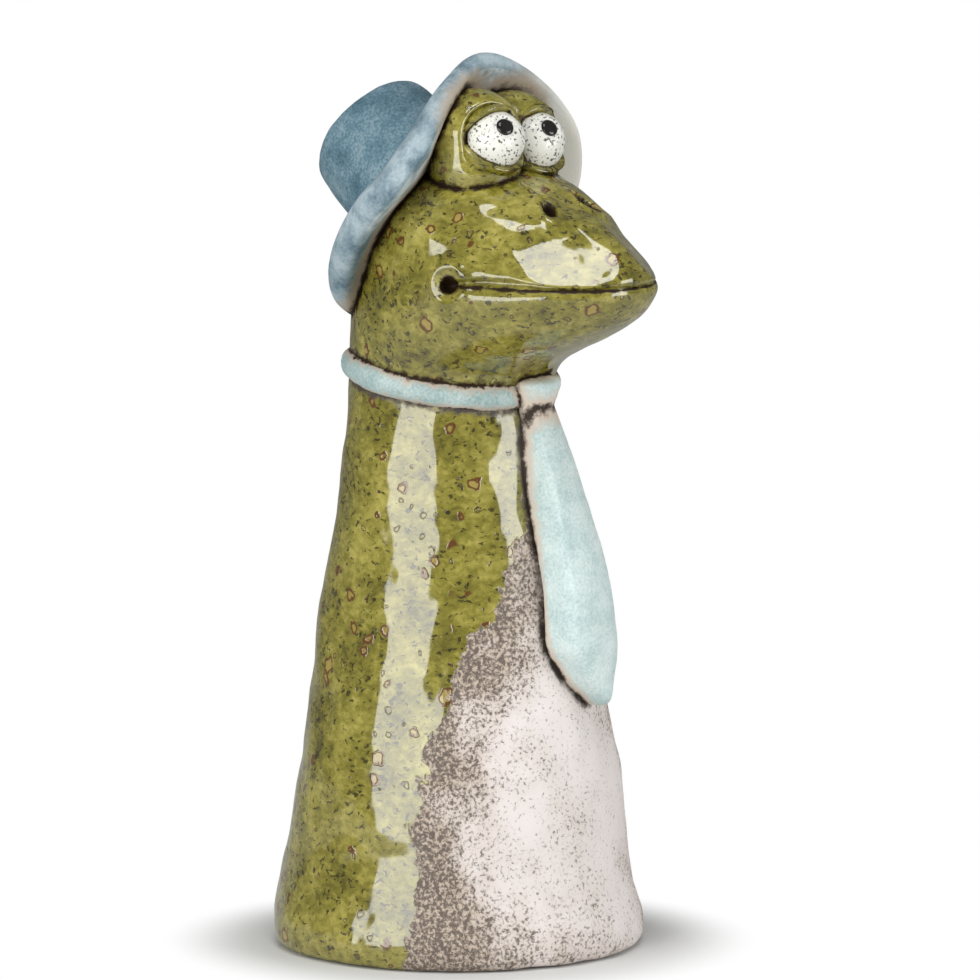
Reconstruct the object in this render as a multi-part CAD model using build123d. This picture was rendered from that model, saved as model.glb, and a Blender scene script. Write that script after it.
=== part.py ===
from build123d import *
import math
import os

# A fired-clay frog in millimetres: +Z up, the frog faces -Y, its right side is -X.
# The origin is the middle of the underside.

# Body: a hollow cone that stands on a floor slab
BODY_HEIGHT = 190.0
FOOT_RADIUS = 61.0
FOOT_ROUND = 4.0
FLOOR_THICKNESS = 8.0
NECK_RADIUS = 33.0
NECK_SETBACK = 3.5
NECK_TILT_DEGREES = 8.0
WALL = 7.0
VENT_RADIUS = 3.0
SLAB_VENT_OFFSET = 25.0
# height above the slab, and how much of the flare from neck to foot is left there
BODY_SHARES = [
    (0.0, 1.0),
    (0.033, 0.985),
    (0.104, 0.88),
    (0.214, 0.77),
    (0.401, 0.56),
    (0.582, 0.386),
    (0.769, 0.175),
    (0.934, 0.04),
]

# Head: two bowls that meet at the mouth line
HEAD_TURN_DEGREES = 6.0
MOUTH_RISE = 36.0
SKULL_RISE = 36.0
HEAD_HALF_WIDTH = 38.0
SNOUT_REACH = 83.0
NAPE_REACH = 33.5
HEAD_WALL = 7.0
# rise, half width, reach forward and reach back of each level of the lower bowl
JAW_SHARES = [
    (0.167, 0.884, 0.452, 0.994),
    (0.333, 0.932, 0.614, 1.01),
    (0.5, 0.974, 0.777, 1.02),
    (0.667, 0.997, 0.9, 1.015),
    (0.833, 1.0, 0.964, 1.01),
    (1.0, 1.0, 1.0, 1.0),
]
# the same for the upper bowl
SKULL_SHARES = [
    (0.153, 1.0, 0.952, 1.0),
    (0.333, 0.974, 0.861, 0.955),
    (0.528, 0.908, 0.753, 0.866),
    (0.694, 0.816, 0.627, 0.746),
    (0.861, 0.658, 0.494, 0.567),
    (1.0, 0.421, 0.325, 0.239),
]
MOUTH_GAP = 1.2
MOUTH_DEPTH = 3.0
MOUTH_CORNER_SHARE = 0.39
CORNER_PIT_RADIUS = 2.6
NOSTRIL_SPACING = 20.0
NOSTRIL_RADIUS = 1.9
NOSTRIL_DEPTH = 4.0
NOSTRIL_LEAN_DEGREES = 40.0

# Eyes
EYE_RADIUS = 10.0
EYE_SPACING = 23.0
EYE_REACH = 30.5
EYE_RISE = 45.0
EYE_SEAT_RISE = 29.5
LEFT_EYE_DROP = 2.6
LID_THICKNESS = 2.2
LID_LEAN_DEGREES = 35.0
UPPER_LID_SHARE = 0.6
LOWER_LID_SHARE = 0.33
MOUND_RADIUS = 15.5
MOUND_SETBACK = 12.0
MOUND_DROP = 2.0
GAZE_TURN_DEGREES = 21.0
GAZE_LIFT_DEGREES = 35.0
PUPIL_RADIUS = 2.9
PUPIL_SINK = 1.4
PUPIL_PROUD = 0.4

# Hat: a bent brim with a hollow crown
HAT_TILT_DEGREES = 54.0
HAT_SETBACK = 8.5
HAT_RISE = 26.5
BRIM_RADIUS = 51.5
BRIM_THICKNESS = 8.0
BRIM_ROUND_SHARE = 0.4
BRIM_SIDE_BEND = 72.0
BRIM_END_BEND = 300.0
CROWN_LENGTH = 34.5
CROWN_SHIFT = 5.0
CROWN_FOOT_RADIUS = 25.0
CROWN_TOP_RADIUS = 22.0
CROWN_WALL = 5.0
CROWN_ROUND = 4.5

# Neck band and tie
BAND_RADIUS = 4.5
BAND_STAND_OUT = 3.0
KNOT_WIDTH = 19.0
KNOT_DEPTH = 11.0
KNOT_HEIGHT = 15.0
# height, and width and depth, of each level of the knot
KNOT_SHARES = [(-0.6, 0.62), (-0.1, 0.9), (0.25, 1.0), (0.4, 0.86)]
BLADE_LENGTH = 107.0
BLADE_POINT = 20.0
BLADE_TOP_WIDTH = 12.0
BLADE_WIDTH = 27.0
BLADE_SWING = 3.5
BLADE_TOP_THICKNESS = 4.0
BLADE_THICKENING = 17.0
BLADE_ROUND = 2.5

# Ovals pass through this many points
OVAL_POINTS = 8

# Cutting bodies run past the faces that they cut by this much
OVERRUN = 5.0


def largest(shape):
    return max(shape.solids(), key=lambda solid: solid.volume)


def oval(half_width, half_length):
    points = []
    for step in range(OVAL_POINTS):
        angle = math.radians(90 + 360 * step / OVAL_POINTS)
        points.append((half_width * math.cos(angle), half_length * math.sin(angle)))
    return make_face(Spline(points, periodic=True))


# Frames: the neck seat, the turned head, its mouth plane and the tilted hat
tilt = math.radians(NECK_TILT_DEGREES)
neck_seat = Plane(
    origin=(0, NECK_SETBACK, BODY_HEIGHT),
    x_dir=(1, 0, 0),
    z_dir=(0, -math.sin(tilt), math.cos(tilt)),
)
neck_drop = FOOT_RADIUS * math.tan(tilt)
head_frame = Pos(0, NECK_SETBACK, BODY_HEIGHT) * Rot(0, 0, -HEAD_TURN_DEGREES)
mouth_frame = head_frame * Pos(0, 0, MOUTH_RISE)
hat_frame = mouth_frame * Pos(0, HAT_SETBACK, HAT_RISE) * Rot(-HAT_TILT_DEGREES, 0, 0)


# Body wall and floor slab
def body_solid(growth, foot_growth):
    levels = []
    for rise_share, flare_share in BODY_SHARES:
        radius = NECK_RADIUS + growth + flare_share * (FOOT_RADIUS + foot_growth - NECK_RADIUS)
        height = FLOOR_THICKNESS + rise_share * (BODY_HEIGHT - FLOOR_THICKNESS)
        levels.append(Pos(0, rise_share * NECK_SETBACK, height) * Circle(radius))
    levels.append(Pos(0, NECK_SETBACK, BODY_HEIGHT) * Circle(NECK_RADIUS + growth))
    levels.append(Pos(0, NECK_SETBACK, BODY_HEIGHT + neck_drop) * Circle(NECK_RADIUS + growth))
    return split(loft(levels), neck_seat, keep=Keep.BOTTOM)


body_full = body_solid(0, 0)
body_wall = body_full - body_solid(-WALL, 0)

slab = Pos(0, 0, FLOOR_THICKNESS / 2) * Cylinder(FOOT_RADIUS, FLOOR_THICKNESS)
slab = fillet(slab.edges().group_by(Axis.Z)[0], FOOT_ROUND)
slab_vent = Pos(0, SLAB_VENT_OFFSET, 0) * Cylinder(VENT_RADIUS, 2 * FLOOR_THICKNESS + OVERRUN)
base_slab = slab - slab_vent


# Head bowls
def head_level(rise, shares, inset):
    width_share, front_share, back_share = shares
    front = front_share * SNOUT_REACH - inset
    back = back_share * NAPE_REACH - inset
    outline = oval(width_share * HEAD_HALF_WIDTH - inset, (front + back) / 2)
    return head_frame * Pos(0, (back - front) / 2, rise) * outline


def head_levels(jaw_levels, skull_levels, inset):
    levels = []
    for level in jaw_levels:
        levels.append(head_level(level[0] * MOUTH_RISE, level[1:], inset))
    for level in skull_levels:
        levels.append(head_level(MOUTH_RISE + level[0] * SKULL_RISE, level[1:], inset))
    return levels


neck_level = head_frame * Pos(0, 0, -neck_drop) * oval(NECK_RADIUS, NECK_RADIUS)
head_full = loft([neck_level] + head_levels(JAW_SHARES, SKULL_SHARES, 0))
head_full = split(head_full, neck_seat, keep=Keep.TOP)
eye_seat = mouth_frame * Pos(0, 0, EYE_SEAT_RISE)
head_full = split(head_full, Plane(eye_seat), keep=Keep.BOTTOM)
head_hollow = loft(head_levels(JAW_SHARES[1:-1], SKULL_SHARES[:-2], HEAD_WALL))
head_vent = head_frame * Cylinder(VENT_RADIUS, MOUTH_RISE)

# Brim: a round slab, its sides bent down to the face and its ends bent up to the crown
bend_frame = hat_frame * Pos(0, 0, BRIM_END_BEND) * Rot(0, 90, 0)
bend_radius = BRIM_SIDE_BEND + BRIM_END_BEND
brim_bend = Torus(bend_radius, BRIM_SIDE_BEND + BRIM_THICKNESS / 2)
brim_bend -= Torus(bend_radius, BRIM_SIDE_BEND - BRIM_THICKNESS / 2)
brim_full = (bend_frame * brim_bend) & (hat_frame * Cylinder(BRIM_RADIUS, 2 * BRIM_RADIUS))
brim_full = largest(brim_full)

hat_vent = hat_frame * Cylinder(VENT_RADIUS, 2 * BRIM_THICKNESS)
rim_edges = brim_full.edges().filter_by(lambda edge: edge.length > BRIM_RADIUS)
brim_full = fillet(rim_edges, BRIM_ROUND_SHARE * BRIM_THICKNESS)
hat_brim = brim_full - hat_vent

# Head bowls: split at the mouth, hollowed, and cut back to the brim that sits on them
mouth_plane = Plane(mouth_frame)
mouth_corner = MOUTH_CORNER_SHARE * SNOUT_REACH
mouth_shares = JAW_SHARES[-1][1:]
lips = head_level(MOUTH_RISE, mouth_shares, -OVERRUN) - head_level(MOUTH_RISE, mouth_shares, MOUTH_DEPTH)
mouth_cut = extrude(lips, amount=-MOUTH_GAP)
mouth_cut = split(mouth_cut, Plane(mouth_frame * Pos(0, -mouth_corner, 0) * Rot(90, 0, 0)))
corner_pits = [
    mouth_frame * Pos(side * HEAD_HALF_WIDTH, -mouth_corner, 0) * Sphere(CORNER_PIT_RADIUS)
    for side in (-1, 1)
]

nostril_share, *nostril_shares = SKULL_SHARES[3]
nostril_front = nostril_shares[1] * SNOUT_REACH
nostril_back = nostril_shares[2] * NAPE_REACH
nostril_width_share = NOSTRIL_SPACING / 2 / (nostril_shares[0] * HEAD_HALF_WIDTH)
nostril_reach = (nostril_front - nostril_back) / 2
nostril_reach += (nostril_front + nostril_back) / 2 * math.sqrt(1 - nostril_width_share**2)
nostrils = [
    mouth_frame
    * Pos(side * NOSTRIL_SPACING / 2, -nostril_reach, nostril_share * SKULL_RISE)
    * Rot(NOSTRIL_LEAN_DEGREES, side * NOSTRIL_LEAN_DEGREES / 2, 0)
    * Cylinder(NOSTRIL_RADIUS, 2 * NOSTRIL_DEPTH)
    for side in (-1, 1)
]

jaw_bowl = split(head_full, mouth_plane, keep=Keep.BOTTOM) - head_hollow
lower_jaw = largest(jaw_bowl - head_vent - corner_pits - mouth_cut - brim_full)
skull_bowl = split(head_full, mouth_plane, keep=Keep.TOP) - head_hollow
upper_head = largest(skull_bowl - corner_pits - nostrils - brim_full)

# Hat crown: a tapered wall on the back of the brim, closed by a disc
crown_align = (Align.CENTER, Align.CENTER, Align.MIN)
crown = Cone(CROWN_FOOT_RADIUS, CROWN_TOP_RADIUS, CROWN_LENGTH, align=crown_align)
crown = fillet(crown.edges().group_by(Axis.Z)[-1], CROWN_ROUND)
crown_disc_plane = Plane.XY.offset(CROWN_LENGTH - CROWN_WALL)
crown_hollow = Cone(
    CROWN_FOOT_RADIUS - CROWN_WALL, CROWN_TOP_RADIUS - CROWN_WALL, CROWN_LENGTH, align=crown_align
)
crown_frame = hat_frame * Pos(0, CROWN_SHIFT, 0)
hat_top = crown_frame * split(crown, crown_disc_plane, keep=Keep.TOP)
crown_wall = split(crown, crown_disc_plane, keep=Keep.BOTTOM) - crown_hollow
hat_crown = largest(crown_frame * crown_wall - brim_full)

# Eyes: each side has a mound, an eyeball with a pupil, and two lids
head_middle = Plane(head_frame * Rot(0, 90, 0))
lid_radius = EYE_RADIUS + LID_THICKNESS
pieces = {}
for side_name, side, drop in (("right", -1, 0), ("left", 1, LEFT_EYE_DROP)):
    own_side = Keep.TOP if side > 0 else Keep.BOTTOM
    eye = mouth_frame * Pos(side * EYE_SPACING / 2, -EYE_REACH, EYE_RISE - drop)
    gaze = eye * Rot(0, 0, -GAZE_TURN_DEGREES) * Rot(90 - GAZE_LIFT_DEGREES, 0, 0)
    pupil_column = gaze * Cylinder(PUPIL_RADIUS, 2 * EYE_RADIUS, align=crown_align)
    pupil = pupil_column & (eye * Sphere(EYE_RADIUS + PUPIL_PROUD))
    pupil -= eye * Sphere(EYE_RADIUS - PUPIL_SINK)
    eyeball = eye * Sphere(EYE_RADIUS)
    mound_rise = EYE_RISE - drop - MOUND_DROP - EYE_SEAT_RISE
    mound_foot = eye_seat * Pos(side * EYE_SPACING / 2, MOUND_SETBACK - EYE_REACH, 0)
    mound = mound_foot * Cylinder(MOUND_RADIUS, mound_rise, align=crown_align)
    mound += mound_foot * Pos(0, 0, mound_rise) * Sphere(MOUND_RADIUS)
    mound = split(mound, Plane(eye_seat), keep=Keep.TOP)
    lid = eye * Sphere(lid_radius) - eyeball - mound - brim_full
    lid = split(lid, head_middle, keep=own_side)
    mound = split(mound - eyeball - brim_full, head_middle, keep=own_side)
    for lid_name, turn, open_share in (
        ("upper", -LID_LEAN_DEGREES, UPPER_LID_SHARE),
        ("lower", 180 + LID_LEAN_DEGREES, LOWER_LID_SHARE),
    ):
        lid_edge = Plane(eye * Rot(turn, 0, 0) * Pos(0, 0, open_share * EYE_RADIUS))
        pieces[f"{side_name}_{lid_name}_lid"] = largest(split(lid, lid_edge, keep=Keep.TOP))
    pieces[f"{side_name}_pupil"] = largest(pupil)
    pieces[f"{side_name}_eyeball"] = largest(eyeball - pupil)
    pieces[f"{side_name}_eye_mound"] = largest(mound)

# Neck band, knot and blade of the tie
band = neck_seat * Torus(NECK_RADIUS + BAND_STAND_OUT - BAND_RADIUS, BAND_RADIUS)
neck_band = largest(band - body_full - head_full)

knot_frame = neck_seat * Pos(0, -NECK_RADIUS - BAND_STAND_OUT, 0)
knot_levels = [
    knot_frame
    * Pos(0, 0, rise_share * KNOT_HEIGHT)
    * oval(size_share * KNOT_WIDTH / 2, size_share * KNOT_DEPTH / 2)
    for rise_share, size_share in KNOT_SHARES
]
knot = loft(knot_levels)
tie_knot = largest(knot - neck_band - body_full - head_full)

blade_top = BODY_HEIGHT
blade_outline = Polyline(
    (-BLADE_TOP_WIDTH / 2, blade_top),
    (BLADE_TOP_WIDTH / 2, blade_top),
    (BLADE_SWING + BLADE_WIDTH / 2, blade_top - BLADE_LENGTH + BLADE_POINT),
    (BLADE_SWING, blade_top - BLADE_LENGTH),
    (BLADE_SWING - BLADE_WIDTH / 2, blade_top - BLADE_LENGTH + BLADE_POINT),
    close=True,
)
blade_prism = extrude(Plane.XZ * make_face(blade_outline), amount=2 * FOOT_RADIUS)
blade = largest((blade_prism & body_solid(BLADE_TOP_THICKNESS, BLADE_THICKENING)) - body_full)
front_face = blade.faces().sort_by(Axis.Y)[0]
blade = fillet(front_face.edges(), BLADE_ROUND)
tie_blade = largest(blade - neck_band - knot - head_full)

pieces["base_slab"] = base_slab
pieces["body_wall"] = body_wall
pieces["lower_jaw"] = lower_jaw
pieces["upper_head"] = upper_head
pieces["hat_brim"] = hat_brim
pieces["hat_crown"] = hat_crown
pieces["hat_top"] = hat_top
pieces["neck_band"] = neck_band
pieces["tie_knot"] = tie_knot
pieces["tie_blade"] = tie_blade

os.makedirs("parts", exist_ok=True)
for name, piece in pieces.items():
    export_step(piece, f"parts/{name}.step")
    print(name, len(piece.solids()), round(piece.volume), piece.is_valid)
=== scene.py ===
# %% [markdown]
# # A glazed clay frog with a hat and a tie
# The frog is a hand-built hollow figure: a tall cone, a head of two bowls, eyes on two lumps,
# a bent hat and a rolled neck band with a tie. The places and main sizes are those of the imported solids,
# and each piece is modelled here again with the soft, slightly uneven surface of worked clay.

# %% Load the solids
import math

import bpy
from mathutils import Matrix, Vector
from mathutils.bvhtree import BVHTree


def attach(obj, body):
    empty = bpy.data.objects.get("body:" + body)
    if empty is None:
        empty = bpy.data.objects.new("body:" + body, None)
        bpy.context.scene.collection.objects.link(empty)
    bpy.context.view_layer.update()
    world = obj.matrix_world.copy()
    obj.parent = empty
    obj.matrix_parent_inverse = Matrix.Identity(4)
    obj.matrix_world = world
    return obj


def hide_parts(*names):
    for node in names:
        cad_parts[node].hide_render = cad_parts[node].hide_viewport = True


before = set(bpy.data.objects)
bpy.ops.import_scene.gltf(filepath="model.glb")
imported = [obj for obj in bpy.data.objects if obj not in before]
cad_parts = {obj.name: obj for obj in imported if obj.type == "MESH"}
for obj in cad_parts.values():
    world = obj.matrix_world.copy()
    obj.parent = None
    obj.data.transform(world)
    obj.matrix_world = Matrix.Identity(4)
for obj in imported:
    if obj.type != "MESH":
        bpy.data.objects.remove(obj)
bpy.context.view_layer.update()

MM = 0.001

# %% [markdown]
# ## Working by rings
# Most clay pieces are stacks of rings: a potter builds them coil by coil. A circle could be lofted
# by a curve bevel, but extruding one ring after another, as by hand, keeps every ring editable.
# Each ring is (x, y, z, half width, half length) in millimetres.


# %% Ring stacks
def clear_selection():
    if bpy.context.object and bpy.context.object.mode != "OBJECT":
        bpy.ops.object.mode_set(mode="OBJECT")
    bpy.ops.object.select_all(action="DESELECT")


def pick(piece):
    clear_selection()
    piece.select_set(True)
    bpy.context.view_layer.objects.active = piece


def edit_all(piece):
    pick(piece)
    bpy.ops.object.mode_set(mode="EDIT")
    bpy.ops.mesh.select_all(action="SELECT")


def face_outward(piece):
    edit_all(piece)
    bpy.ops.mesh.normals_make_consistent(inside=False)
    bpy.ops.object.mode_set(mode="OBJECT")


def stack_rings(name, rings, segments):
    clear_selection()
    bpy.ops.mesh.primitive_circle_add(vertices=segments, radius=MM, fill_type="NGON", location=(0, 0, 0))
    piece = bpy.context.object
    piece.name = name
    edit_all(piece)
    x, y, z, width, length = rings[0]
    bpy.ops.transform.resize(value=(width, length, 1), center_override=(0, 0, 0))
    bpy.ops.transform.translate(value=(x * MM, y * MM, z * MM))
    for next_x, next_y, next_z, next_width, next_length in rings[1:]:
        step = ((next_x - x) * MM, (next_y - y) * MM, (next_z - z) * MM)
        bpy.ops.mesh.extrude_region_move(TRANSFORM_OT_translate={"value": step})
        growth = (next_width / width, next_length / length, 1)
        x, y, z, width, length = next_x, next_y, next_z, next_width, next_length
        bpy.ops.transform.resize(value=growth, center_override=(x * MM, y * MM, z * MM))
    face_outward(piece)
    return piece

# %% [markdown]
# Worked clay is round and never quite even, so a stack is rounded by subdivision and then moved a little in
# and out by cloud noise. Sculpting would look as soft, but couldn't be repeated.


# %% Rounding and unevenness
def round_off(piece, levels):
    pick(piece)
    modifier = piece.modifiers.new("round_off", "SUBSURF")
    modifier.levels = levels
    modifier.render_levels = levels
    bpy.ops.object.modifier_apply(modifier=modifier.name)


def uneven(piece, lump_mm, depth_mm):
    pick(piece)
    texture = bpy.data.textures.new(piece.name + "_lumps", "CLOUDS")
    texture.noise_scale = lump_mm * MM
    modifier = piece.modifiers.new("uneven", "DISPLACE")
    modifier.texture = texture
    modifier.texture_coords = "LOCAL"
    modifier.mid_level = 0.5
    modifier.strength = depth_mm * MM
    bpy.ops.object.modifier_apply(modifier=modifier.name)

# %% [markdown]
# Pieces that were smoothed over a joint are modelled as one and cut at the joint by a plane. Edges sharper
# than an angle, mostly the cut ones, stay sharp in the shading.


# %% Placing, cutting and shading
def place(piece, spot):
    pick(piece)
    piece.matrix_world = spot
    bpy.ops.object.transform_apply(location=True, rotation=True, scale=True)


def cut(piece, point, normal, keep_front):
    edit_all(piece)
    bpy.ops.mesh.bisect(
        plane_co=point, plane_no=normal, use_fill=True, clear_inner=keep_front, clear_outer=not keep_front
    )
    bpy.ops.object.mode_set(mode="OBJECT")


def cut_in_two(piece, point, normal, back_name, front_name):
    front = piece.copy()
    front.data = piece.data.copy()
    bpy.context.collection.objects.link(front)
    cut(front, point, normal, True)
    cut(piece, point, normal, False)
    piece.name = back_name
    front.name = front_name
    return piece, front


SMOOTH_ANGLE = 50


def smooth_faces(piece):
    pick(piece)
    bpy.ops.object.shade_smooth_by_angle(angle=math.radians(SMOOTH_ANGLE))
    print(piece.name, len(piece.data.vertices), "vertices")

# %% [markdown]
# ## Places
# The head sits on a slanting neck and is turned a little to the frog's right. The hat leans far back.
# Each of these is a small frame, so that a piece is modelled upright and then put in its place once.

# %% Frames of the neck, head, mouth and hat
NECK_PLACE = Vector((0, 3.5, 190)) * MM
NECK_TILT = 8
HEAD_TURN = -6
MOUTH_RISE = 36
HAT_SETBACK = 8.5
HAT_RISE = 26.5
HAT_TILT = -54


def shifted(x, y, z):
    return Matrix.Translation((x * MM, y * MM, z * MM))


def turned(degrees, axis):
    return Matrix.Rotation(math.radians(degrees), 4, axis)


neck_frame = Matrix.Translation(NECK_PLACE) @ turned(NECK_TILT, "X")
head_frame = Matrix.Translation(NECK_PLACE) @ turned(HEAD_TURN, "Z")
mouth_frame = head_frame @ shifted(0, 0, MOUTH_RISE)
hat_frame = mouth_frame @ shifted(0, HAT_SETBACK, HAT_RISE) @ turned(HAT_TILT, "X")
neck_normal = neck_frame.to_3x3() @ Vector((0, 0, 1))
print("mouth at", tuple(mouth_frame.translation))

# %% [markdown]
# ## Body and floor slab
# The body is a cone with an uneven wall, and the slab closes it below. Both are one smoothed surface
# outside, so they are modelled as one stack and then cut apart at the joint.

# %% Body rings
# height, how far the middle lies back, radius
BODY_PROFILE = [
    (0, 0, 14), (0, 0, 40), (0, 0, 56), (0.6, 0, 59.6), (3.2, 0, 61.2), (8, 0.1, 61.4), (14, 0.6, 60.5),
    (25, 1.5, 57.2), (47, 0.4, 55.1), (64, 0, 52.4), (81, 0.7, 49.3), (97, 1.7, 46.4), (114, 2, 43.9),
    (131, 2.4, 41), (148, 2.7, 38), (163, 3, 35.9), (178, 3.3, 34.3), (190, 3.5, 33.2), (204, 3.5, 33),
]
SLAB_TOP = 8
body_rings = [(0, setback, z, radius, radius) for z, setback, radius in BODY_PROFILE]
body = stack_rings("body_wall", body_rings, 48)
round_off(body, 3)
uneven(body, 32, 2.4)
uneven(body, 18, 1.1)
uneven(body, 7, 0.25)
# the foot stands flat
for point in body.data.vertices:
    point.co.z = max(0, point.co.z)
cut(body, NECK_PLACE, neck_normal, False)
base_slab, body_wall = cut_in_two(body, (0, 0, SLAB_TOP * MM), (0, 0, 1), "slab_piece", "body_piece")
smooth_faces(base_slab)
smooth_faces(body_wall)

# %% [markdown]
# ## Head
# The head is wider than the neck and runs out to a blunt snout. Its rings are ovals whose front reaches
# much further than their back. The mouth is a carved line, so a few rings lie close together there.

# %% Head rings
# height, half width, reach to the front, reach to the back
HEAD_OVALS = [
    (-9, 33, 33, 33), (0, 33.2, 34.5, 33.2), (6, 33.9, 38.5, 33.6), (12, 35.6, 52, 34),
    (18, 37.2, 65.5, 34.4), (24, 38.1, 75.5, 34.3), (30, 38.4, 81, 34), (34.4, 38.5, 83.4, 33.8),
    (35.5, 38.5, 84.5, 33.8), (36, 38.5, 84.6, 33.8), (36.5, 38.5, 84.6, 33.8), (37.6, 38.5, 84.4, 33.8),
    (41.5, 38.4, 83.2, 33.7), (48, 37.4, 76.6, 32.3), (55, 35, 66.4, 29.3), (61, 31.5, 51.6, 25.4),
    (67, 25.6, 42, 19.4), (71.5, 17, 29, 10), (73, 8, 17, 2),
]
head_rings = [(0, (back - front) / 2, z, width, (front + back) / 2) for z, width, front, back in HEAD_OVALS]
head = stack_rings("head", head_rings, 64)
print("head rings:", len(head_rings))

# %% [markdown]
# The mouth is the open seam of the two bowls, a thin line that ends in front of the cheeks. It could be cut
# by a boolean, but pushing in the rings that lie on the line before the head is rounded gives it soft lips.

# %% Carve the mouth
MOUTH_CORNER = 32.4
MOUTH_DEPTH = 3.2
MOUTH_HALF_OPENING = 0.7


def deselect_mesh(piece, kind):
    pick(piece)
    bpy.ops.object.mode_set(mode="EDIT")
    bpy.ops.mesh.select_mode(type=kind)
    bpy.ops.mesh.select_all(action="DESELECT")
    bpy.ops.object.mode_set(mode="OBJECT")


deselect_mesh(head, "VERT")
for point in head.data.vertices:
    on_line = abs(point.co.z / MM - MOUTH_RISE) < MOUTH_HALF_OPENING
    point.select = on_line and point.co.y / MM < -MOUTH_CORNER
bpy.ops.object.mode_set(mode="EDIT")
bpy.ops.transform.shrink_fatten(value=-MOUTH_DEPTH * MM)
bpy.ops.object.mode_set(mode="OBJECT")
round_off(head, 3)
skull_faces = [face.index for face in head.data.polygons if face.center.z > MOUTH_RISE * MM]
print("faces above the mouth:", len(skull_faces))

# %% [markdown]
# The upper sides of the snout were patted flat, which is why they mirror the light as one wedge. Sculpting
# would do it by eye. Here the sides are drawn in above the mouth, and points near a slanting plane are moved
# towards it.

# %% Flatten the upper sides of the snout
SNOUT_FLAT = 4.2
SNOUT_FLAT_HEIGHT = 26
SNOUT_HALF_RIDGE = 12
FLAT_NORMAL = Vector((0.503, -0.525, 0.686))
FLAT_DISTANCE = 73.6
FLAT_FILL = 3.5
FLAT_STRENGTH = 0.7
BROW_HEIGHT = 20.7
BROW_SLOPE = 0.65


def ramp_up(value, start, end):
    return min(1, max(0, (value - start) / (end - start)))


for point in head.data.vertices:
    x, y, z = point.co / MM
    rise = (z - MOUTH_RISE) / SNOUT_FLAT_HEIGHT
    if 0 < rise < 1:
        side = max(-1, min(1, x / SNOUT_HALF_RIDGE))
        x -= SNOUT_FLAT * side * ramp_up(-y, 24, 50) * math.sin(math.pi * rise) ** 0.8
    above = max(-FLAT_FILL, Vector((abs(x), y, max(z, MOUTH_RISE))).dot(FLAT_NORMAL) - FLAT_DISTANCE)
    brow = BROW_HEIGHT - BROW_SLOPE * y
    share = ramp_up(abs(x), 1, 7) * ramp_up(-y, 30, 44) * ramp_up(-y, 84, 78)
    share *= ramp_up(z, 34, 36.5) * ramp_up(z, brow, brow - 8)
    back = FLAT_NORMAL * above * FLAT_STRENGTH * share
    point.co = Vector((x - math.copysign(back.x, x), y - back.y, z - back.z)) * MM
place(head, head_frame)
uneven(head, 30, 1.4)
uneven(head, 12, 0.3)
print("sides of the snout drawn in by up to", SNOUT_FLAT, "mm")

# %% [markdown]
# ## Pressed marks
# The nostrils and the corners of the mouth are pressed in with the end of a stick, which raises a soft rim
# round the mark. A boolean would leave a hard edge, so the points near the mark are moved instead. A nostril
# is longer up the slope than across it.

# %% Press a mark
pressed_marks = []


def press(piece, centre, pit_mm, depth_mm, rim_mm, rim_height_mm, tall):
    tree = BVHTree.FromObject(piece, bpy.context.evaluated_depsgraph_get())
    spot, outward, _, _ = tree.find_nearest(centre)
    uphill = (Vector((0, 0, 1)) - outward * outward.z).normalized()
    shortening = 1 - 1 / tall
    pressed_marks.append((spot.copy(), outward.copy(), uphill, shortening, pit_mm))
    for point in piece.data.vertices:
        offset = (point.co - spot) / MM
        offset -= uphill * offset.dot(uphill) * shortening
        distance = offset.length
        if distance < 2 * rim_mm:
            pit = max(0, 1 - (distance / pit_mm) ** 2) ** 0.5 * depth_mm
            rim = math.exp(-(((distance - rim_mm) / (0.35 * rim_mm)) ** 2)) * rim_height_mm
            point.co += outward * (rim - pit) * MM
    piece.data.update()

# %% Nostrils and mouth corners
for side in (-1, 1):
    nostril = mouth_frame @ (Vector((side * 9, -52.5, 24)) * MM)
    press(head, nostril, pit_mm=2.0, depth_mm=4.5, rim_mm=3.7, rim_height_mm=1.0, tall=1.9)
    corner = mouth_frame @ (Vector((side * 36.5, -33.5, 0)) * MM)
    press(head, corner, pit_mm=3.0, depth_mm=4.5, rim_mm=6.5, rim_height_mm=1.4, tall=1)
print("pressed marks:", len(pressed_marks))

# %% [markdown]
# The two bowls of the head are separate pieces. A flat cut would leave slivers beside the uneven mouth line,
# so the faces above the line, noted before the head was bent, are parted and both openings are closed.

# %% Part the head along the mouth
deselect_mesh(head, "FACE")
for index in skull_faces:
    head.data.polygons[index].select = True
bpy.ops.object.mode_set(mode="EDIT")
bpy.ops.mesh.separate(type="SELECTED")
bpy.ops.object.mode_set(mode="OBJECT")
lower_jaw = head
upper_head = next(piece for piece in bpy.context.selected_objects if piece != head)
for piece, name in ((lower_jaw, "jaw_piece"), (upper_head, "skull_piece")):
    piece.name = name
    pick(piece)
    bpy.ops.object.mode_set(mode="EDIT")
    bpy.ops.mesh.select_mode(type="VERT")
    bpy.ops.mesh.select_all(action="SELECT")
    bpy.ops.mesh.fill_holes(sides=0)
    face_outward(piece)
    smooth_faces(piece)

# %% [markdown]
# ## Eyes
# Each eye is a ball pushed into a lump of clay, with a lid above and a cup below. The lump starts as a
# sphere whose lower half is drawn down to the head. The two lumps are cut where they meet.


# %% Eye lumps
def sphere(name, radius, segments, rings):
    clear_selection()
    bpy.ops.mesh.primitive_uv_sphere_add(segments=segments, ring_count=rings, radius=radius * MM)
    piece = bpy.context.object
    piece.name = name
    return piece


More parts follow.
